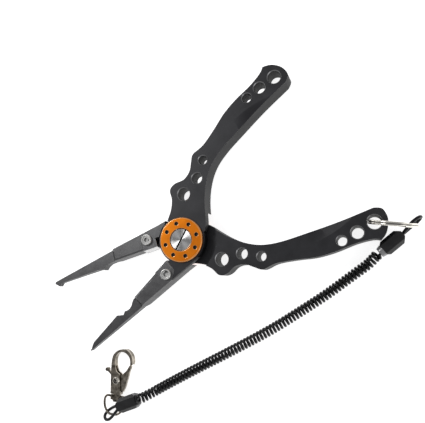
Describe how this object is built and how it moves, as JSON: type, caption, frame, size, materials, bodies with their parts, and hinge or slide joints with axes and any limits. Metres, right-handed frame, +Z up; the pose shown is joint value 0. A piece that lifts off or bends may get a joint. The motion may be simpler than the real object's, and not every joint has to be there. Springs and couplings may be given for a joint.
{
  "type": "fishing pliers",
  "caption": "Aluminium split-ring fishing pliers with cutters, a return spring, and a coil lanyard ending in a swivel clasp.",
  "frame": {"origin": "under the middle of the pliers' length and width, on the surface they lie on, measured without the lanyard", "axes": "+X from the jaw tips towards the handle ends; +Y towards the front handle, away from the lanyard; +Z up, out of the bolt's slotted head"},
  "size_m": [0.2176, 0.1303, 0.0254],
  "materials": {
    "black_anodised": "satin black anodised aluminium",
    "orange_anodised": "bright orange anodised aluminium",
    "gunmetal_steel": "dark coated stainless steel",
    "carbide": "ground tungsten carbide",
    "bright_steel": "turned stainless steel",
    "bronze": "plain bearing bronze",
    "bright_nickel": "bright nickel plated steel",
    "dark_nickel": "antique nickel plated zinc",
    "black_plastic": "semi-gloss black plastic",
    "black_cord": "glossy black urethane cord"
  },
  "bodies": {
    "rear_half": {"rear_handle": "black_anodised", "split_ring_jaw": "gunmetal_steel", "rear_cutter": "carbide", "rear_cutter_screw": "bright_steel", "rear_tang_pins": "bright_steel", "rear_pivot_ring": "orange_anodised", "pivot_bolt": "bright_steel", "pivot_nut": "bright_steel", "thrust_washer": "bronze", "return_spring": "bright_steel"},
    "front_half": {"front_handle": "black_anodised", "plain_jaw": "gunmetal_steel", "front_cutter": "carbide", "front_cutter_screw": "bright_steel", "front_tang_pins": "bright_steel", "front_pivot_ring": "orange_anodised", "pivot_bushing": "bronze", "head_washer": "bronze"},
    "ring": {"split_ring": "bright_nickel"},
    "lanyard": {"upper_loop": "black_cord", "upper_connector": "black_plastic", "upper_crimp": "bright_steel", "upper_nose_cone": "black_plastic", "coil_cord": "black_cord", "lower_nose_cone": "black_plastic", "lower_connector": "black_plastic", "lower_crimp": "bright_steel", "lower_loop": "black_cord"},
    "eye": {"swivel_eye": "dark_nickel"},
    "clasp": {"swivel_pin": "dark_nickel", "clasp_hook": "dark_nickel", "gate_rivet": "dark_nickel", "gate_spring": "bright_steel"},
    "gate": {"clasp_gate": "dark_nickel"}
  },
  "joints": [
    {"name": "pivot", "type": "hinge", "parent": "rear_half", "child": "front_half", "pos_m": [-0.0081, 0, 0.009], "axis": [0, 0, 1], "range_deg": [-29.1, 0], "stiffness_Nm_per_rad": 0.25, "springref_deg": 20.05},
    {"name": "ring_swing", "type": "hinge", "parent": "rear_half", "child": "ring", "pos_m": [0.0866, -0.0496, 0.009], "axis": [0, 0, 1], "range_deg": [-4, 30]},
    {"name": "lanyard_swing", "type": "hinge", "parent": "ring", "child": "lanyard", "pos_m": [0.1009, -0.0608, 0.005], "axis": [0, 0, 1], "range_deg": [0, 20]},
    {"name": "eye_swing", "type": "hinge", "parent": "lanyard", "child": "eye", "pos_m": [-0.1016, -0.0629, 0.003], "axis": [0, 0, 1], "range_deg": [-4, 8]},
    {"name": "swivel", "type": "hinge", "parent": "eye", "child": "clasp", "pos_m": [-0.095, -0.055, 0.00265], "axis": [0.6374, 0.7705, 0], "continuous": true},
    {"name": "gate_hinge", "type": "hinge", "parent": "clasp", "child": "gate", "pos_m": [-0.0892, -0.0472, 0.00265], "axis": [0, 0, 1], "range_deg": [0, 22], "stiffness_Nm_per_rad": 0.002, "springref_deg": -17.19}
  ]
}
